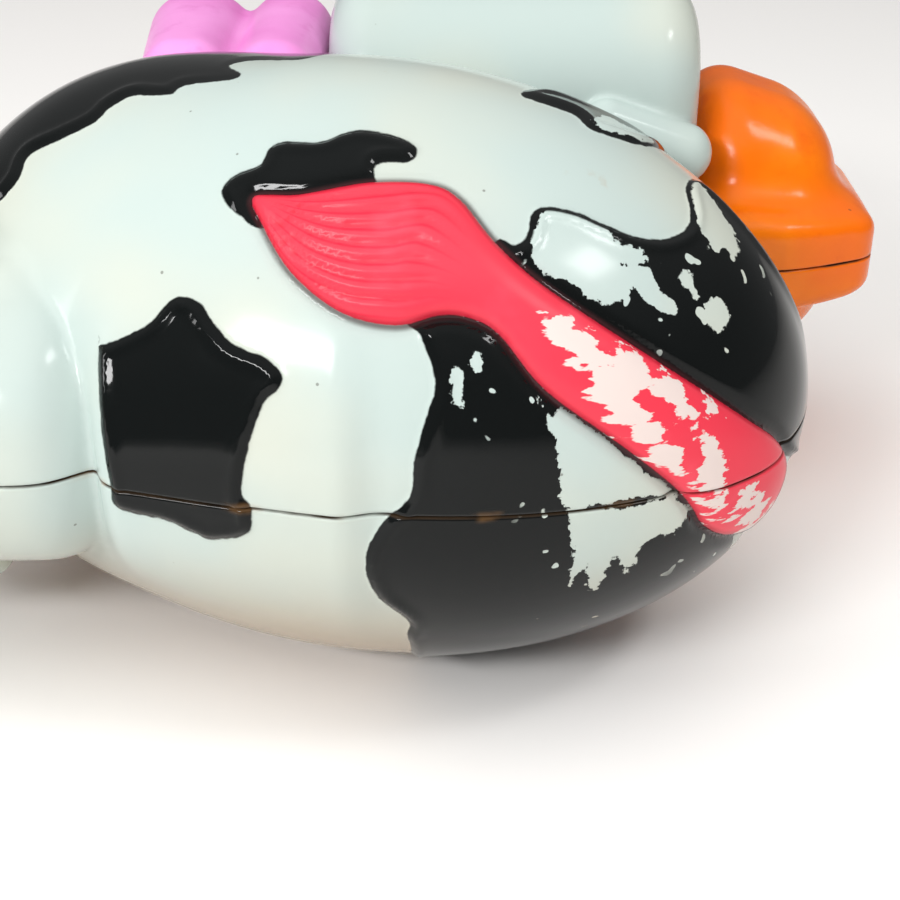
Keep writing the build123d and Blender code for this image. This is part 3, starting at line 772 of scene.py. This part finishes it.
def suit_paint():
    """White gloss plastic with black spots and a red tail, both rubbed through in places."""
    paint = Paint("suit_paint")
    spot = paint.field("spot")
    tail = paint.field("tail")
    worn = paint.field("worn")
    strand = paint.field("strand")
    # the bare shell, with faint yellowing, dust and a few stains
    colour = paint.mix(paint.step(paint.noise(45, 2), 0.42, 0.72), WHITE, CREAM)
    colour = paint.mix(paint.math("MULTIPLY", paint.specks(7, 0.045), 0.55), colour, GRIME)
    stain = paint.step(paint.noise(16, 5, 0.6), 0.69, 0.78)
    colour = paint.mix(paint.math("MULTIPLY", stain, 0.35), colour, RUST)
    # painted reflection of a warm table and painted shade, browner towards the side it lies on
    under = paint.step(paint.rise(), -4, -42)
    colour = paint.mix(paint.math("MULTIPLY", under, 0.85), colour, TABLE_REFLECTION_TAN)
    # ragged edges of the worn places, and small chips round them
    ragged = paint.math("MULTIPLY", paint.math("SUBTRACT", paint.noise(2.2, 5, 0.65), 0.5), 3.4)
    edge = paint.math("ADD", worn, ragged)
    chips = paint.step(paint.noise(3.1, 1, 0.4), 0.70, 0.715)
    chips = paint.math("MULTIPLY", chips, paint.step(worn, 9, 3))
    bare = paint.math("MAXIMUM", paint.step(edge, 0.15, 0.0), chips)
    # black spots, brushed by hand
    brushed = paint.math("ADD", spot, paint.math("MULTIPLY", paint.noise(1.6, 3), 0.5))
    black = paint.step(brushed, 0.42, 0.12)
    rim_kept = paint.step(paint.math("ABSOLUTE", paint.math("ADD", spot, 0.2)), 0.75, 0.35)
    black_bare = paint.math("MULTIPLY", bare, paint.math("SUBTRACT", 1.0, rim_kept))
    black = paint.math("MULTIPLY", black, paint.math("SUBTRACT", 1.0, black_bare))
    colour = paint.mix(black, colour, BLACK)
    # the tail: streaks along it where it is rubbed, and painted shade darker in its grooves
    along = paint.stretched((0.5236, 0, 0.57), (0.22, 1.0, 1.0))
    streaks = paint.noise(2.4, 4, 0.6, along)
    rubbed = paint.math("ADD", worn, paint.math("MULTIPLY", paint.math("SUBTRACT", streaks, 0.5), 13.0))
    tail_bare = paint.step(rubbed, 0.35, -0.1)
    strands = paint.math("SINE", paint.math("MULTIPLY", strand, STRANDS * math.pi))
    groove = paint.step(paint.math("ABSOLUTE", strands), 0.5, 0.0)
    groove = paint.math("MULTIPLY", groove, paint.field("hair"))
    # painted shade: a darker red in the grooves between the strands
    red = paint.mix(groove, RED, GROOVE_SHADE_RED)
    red = paint.mix(paint.step(tail, -0.9, -0.1), red, DEEP_RED)
    faded = paint.math("MULTIPLY", paint.step(paint.noise(12, 3), 0.5, 0.75), 0.35)
    red = paint.mix(faded, red, FADED_RED)
    red = paint.mix(tail_bare, red, BARE_TAIL)
    in_tail = paint.step(paint.math("ADD", tail, paint.math("MULTIPLY", ragged, 0.08)), 0.1, -0.1)
    colour = paint.mix(in_tail, colour, red)
    shade = paint.math("MULTIPLY", paint.step(tail, 1.1, 0.2), paint.step(tail, -0.2, 0.1))
    colour = paint.mix(paint.math("MULTIPLY", shade, 0.75), colour, TAIL_SHADE)
    colour = seam_grime(paint, colour)
    # gloss: paint is shinier than the bare plastic under it
    rough = paint.lerp(black, 0.13, 0.055)
    rough = paint.lerp(in_tail, rough, paint.lerp(tail_bare, 0.30, 0.42))
    rough = paint.math("ADD", rough, paint.math("MULTIPLY", paint.noise(30, 4), 0.05))
    film = paint.math("MULTIPLY", black, paint.math("SUBTRACT", 1.0, in_tail))
    film = paint.math("ADD", film, paint.math("MULTIPLY", paint.noise(7, 2), 0.25))
    normal = paint.bump(film, 0.10)
    return paint.finish(colour, rough, normal, specular=0.2)


def glossy_paint(name, main, deep, light, rough, grime=True):
    """Painted gloss plastic: thicker and darker in places, with scuffs and fine texture."""
    paint = Paint(name)
    colour = paint.mix(paint.step(paint.noise(22, 3), 0.35, 0.7), main, light)
    thicker = paint.math("MULTIPLY", paint.step(paint.noise(9, 4, 0.6), 0.55, 0.8), 0.6)
    colour = paint.mix(thicker, colour, deep)
    colour = paint.mix(paint.math("MULTIPLY", paint.specks(9, 0.05), 0.5), colour, GRIME)
    if grime:
        colour = seam_grime(paint, colour)
    gloss = paint.math("ADD", rough, paint.math("MULTIPLY", paint.noise(11, 4), 0.10))
    normal = paint.bump(paint.noise(4, 3), 0.10)
    return paint.finish(colour, gloss, normal, specular=0.3)


def eye_paint():
    """A white eye with a brown ring and a black pupil, under a clear gloss."""
    paint = Paint("eye_paint")
    reach = paint.math("ADD", paint.field("iris"), paint.math("MULTIPLY", paint.noise(1.5), 0.3))
    colour = paint.mix(paint.step(reach, 3.4, 3.2), (0.75, 0.74, 0.68), (0.16, 0.06, 0.015))
    colour = paint.mix(paint.step(reach, 2.4, 2.2), colour, (0.004, 0.004, 0.004))
    return paint.finish(colour, 0.08, paint.bump(paint.noise(3), 0.03), coat=0.5)


def moulded_plastic(name, main, light):
    """Matte moulded plastic with a fine grain."""
    paint = Paint(name)
    colour = paint.mix(paint.noise(12, 4), main, light)
    colour = paint.mix(paint.math("MULTIPLY", paint.specks(4, 0.06), 0.3), colour, GRIME)
    gloss = paint.math("ADD", 0.42, paint.math("MULTIPLY", paint.noise(6, 3), 0.2))
    return paint.finish(colour, gloss, paint.bump(paint.noise(0.6, 2), 0.05))


# ---- the pieces -------------------------------------------------------------------------------
# each paint's main, deep and light colour
PINKS = (0.80, 0.24, 0.62), (0.66, 0.12, 0.46), (0.88, 0.33, 0.72)
FOOT_ORANGES = (0.86, 0.145, 0.0), (0.70, 0.08, 0.0), (0.92, 0.20, 0.0)
BEAK_ORANGES = (0.90, 0.24, 0.0), (0.60, 0.10, 0.0), (0.97, 0.34, 0.01)
COMB_REDS = (0.70, 0.015, 0.03), (0.36, 0.004, 0.01), (0.82, 0.04, 0.06)
SHADOW_WHITE = (0.52, 0.60, 0.55)


def make_suit():
    paint = suit_paint()
    for side, word in ((1, "left"), (-1, "right")):
        half_shell(
            f"suit_{word}_skin", suit, (-84, -56, 0), (74, 93, 52), 0.72, side, "body",
            [f"suit_shell_{word}"], paint, suit_relief, markings,
        )
        half_shell(
            f"head_{word}_skin", head, (-140, -52, 0), (-78, 20, 36), 0.8, side, "head",
            [f"head_shell_{word}"], paint, head_relief, head_spot,
        )


def make_foot():
    paint = glossy_paint("foot_paint", *FOOT_ORANGES, 0.18)
    for side, word in ((1, "left"), (-1, "right")):
        half_shell(
            f"foot_{word}_skin", foot, (59, 30, 0), (102, 92, 38), 0.7, side, "body",
            [f"foot_shell_{word}"], paint,
        )


def make_udder():
    paint = glossy_paint("udder_paint", *PINKS, 0.25, grime=False)
    whole("udder_skin", udder, (-50, 20, -47), (-6, 93, 47), 0.9, "body", ["udder"], paint)


def make_wings():
    paint = glossy_paint("wing_paint", WHITE, SHADOW_WHITE, CREAM, 0.14, grime=False)
    for word, shape, low, high in (
        ("left", wing_left, (-88, -28, 24), (-56, -4, 35)),
        ("right", wing_right, (-88, -28, -35), (-56, -4, -24)),
    ):
        whole(
            f"wing_{word}_feathers", shape, low, high, 0.45, f"wing_{word}", [f"wing_{word}"],
            paint,
        )


def make_face():
    orange = glossy_paint("beak_paint", *BEAK_ORANGES, 0.22, grime=False)
    red = glossy_paint("comb_paint", *COMB_REDS, 0.24, grime=False)
    eyes = eye_paint()
    face = [
        ("beak_upper", beak_upper, (-124, 6, -16), (-98, 47, 16), 0.5, "orange", orange, None),
        ("beak_lower", beak_lower, (-106, 4, -12), (-90, 38, 12), 0.45, "orange", orange, None),
        ("comb", comb, (-148, -50, -5), (-118, 14, 5), 0.6, "comb_red", red, None),
        ("wattle", wattle, (-98, 0, -10), (-80, 20, 10), 0.4, "comb_red", red, None),
        ("eye_left", eye_left, (-120, -6, 18), (-104, 12, 32), 0.35, "eye_black", eyes, eye_fields),
        ("eye_right", eye_right, (-120, -6, -32), (-104, 12, -18), 0.35, "eye_black", eyes, eye_fields),
    ]
    for node, shape, low, high, step, slot, paint, fields in face:
        whole(f"{node}_form", shape, low, high, step, "head", [node], paint, fields)


def paint_voice():
    """The groan tube's CAD pieces keep their shape and get their plastics."""
    grey = moulded_plastic("voice_plastic", (0.30, 0.31, 0.30), (0.42, 0.42, 0.40))
    clear = moulded_plastic("reed_plastic", (0.60, 0.55, 0.42), (0.74, 0.70, 0.58))
    for node in ("voice_tube", "voice_cap_front", "voice_cap_back", "voice_weight", "voice_reed"):
        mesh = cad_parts[node].data
        mesh.materials.clear()
        mesh.materials.append(clear if node == "voice_reed" else grey)


make_suit()
make_foot()
make_udder()
make_wings()
make_face()
paint_voice()


# ---- camera, light and floor --------------------------------------------------------------------
CAMERA_TILT = math.radians(30)
CAMERA_DISTANCE = 260                    # mm from the point it looks at
CAMERA_SHIFT = (14.5, 0, 0)
CAMERA_DROP = 16
LENS = 61.3
SENSOR = 36


def camera():
    data = bpy.data.cameras.new("camera")
    data.lens = LENS
    data.sensor_width = SENSOR
    obj = bpy.data.objects.new("camera", data)
    bpy.context.scene.collection.objects.link(obj)
    forward = np.array([0, math.cos(CAMERA_TILT), -math.sin(CAMERA_TILT)])
    up = np.array([0, math.sin(CAMERA_TILT), math.cos(CAMERA_TILT)])
    away = -CAMERA_DISTANCE * forward + np.array(CAMERA_SHIFT) - CAMERA_DROP * up
    obj.location = CENTRE + MM * away
    obj.rotation_euler = (math.pi / 2 - CAMERA_TILT, 0, 0)
    bpy.context.scene.camera = obj


def aim(away):
    """Euler angles that point a light's -Z at the body."""
    tilt = math.acos(away[2])
    turn = math.atan2(away[1], away[0]) + math.pi / 2
    return (tilt, 0, turn)


def softbox(name, direction, distance, width, height, power, mirrored):
    """A rectangular light from the given direction, seen in gloss or not."""
    data = bpy.data.lights.new(name, "AREA")
    data.shape = "RECTANGLE"
    data.size = width
    data.size_y = height
    data.energy = power
    obj = bpy.data.objects.new(name, data)
    away = np.array(direction, float) / np.linalg.norm(direction)
    obj.location = CENTRE + away * distance
    obj.rotation_euler = aim(away)
    obj.visible_glossy = mirrored
    bpy.context.scene.collection.objects.link(obj)


ROOM_DIM = 0.20
ROOM_BRIGHT = 0.55


def sky():
    """A dim room that brightens overhead, so that gloss has something to reflect."""
    world = bpy.data.worlds.new("world")
    world.use_nodes = True
    nodes = world.node_tree.nodes
    links = world.node_tree.links
    direction = nodes.new("ShaderNodeTexCoord").outputs["Generated"]
    parts = nodes.new("ShaderNodeSeparateXYZ")
    rise = nodes.new("ShaderNodeMapRange")
    rise.interpolation_type = "SMOOTHSTEP"
    rise.inputs["From Min"].default_value = 0.25
    rise.inputs["From Max"].default_value = 1.0
    rise.inputs["To Min"].default_value = ROOM_DIM
    rise.inputs["To Max"].default_value = ROOM_BRIGHT
    links.new(direction, parts.inputs[0])
    links.new(parts.outputs["Z"], rise.inputs["Value"])
    links.new(rise.outputs["Result"], nodes["Background"].inputs["Strength"])
    nodes["Background"].inputs["Color"].default_value = (1.0, 1.0, 1.0, 1)
    bpy.context.scene.world = world


def studio():
    softbox("top_light", (-0.1, -0.25, 1.0), 1.1, 1.4, 1.2, 8.5, False)
    softbox("window_light", (-0.44, -0.71, 0.54), 0.8, 0.30, 0.10, 3.6, True)
    softbox("side_light", (-0.88, -0.32, 0.34), 0.9, 0.16, 0.22, 1.2, True)
    softbox("foot_light", (0.55, -0.25, 0.80), 0.8, 0.16, 0.10, 1.0, True)
    sky()
    bpy.context.scene.view_settings.view_transform = "Standard"


def floor():
    mesh = bpy.data.meshes.new("floor")
    mesh.from_pydata([(-3, -3, 0), (3, -3, 0), (3, 3, 0), (-3, 3, 0)], [], [(0, 1, 2, 3)])
    paint = Paint("floor_paint")
    colour = paint.mix(paint.noise(400, 2), (0.95, 0.93, 0.90), (0.97, 0.95, 0.93))
    mesh.materials.append(paint.finish(colour, 0.6))
    obj = bpy.data.objects.new("floor", mesh)
    bpy.context.scene.collection.objects.link(obj)


camera()
studio()
floor()
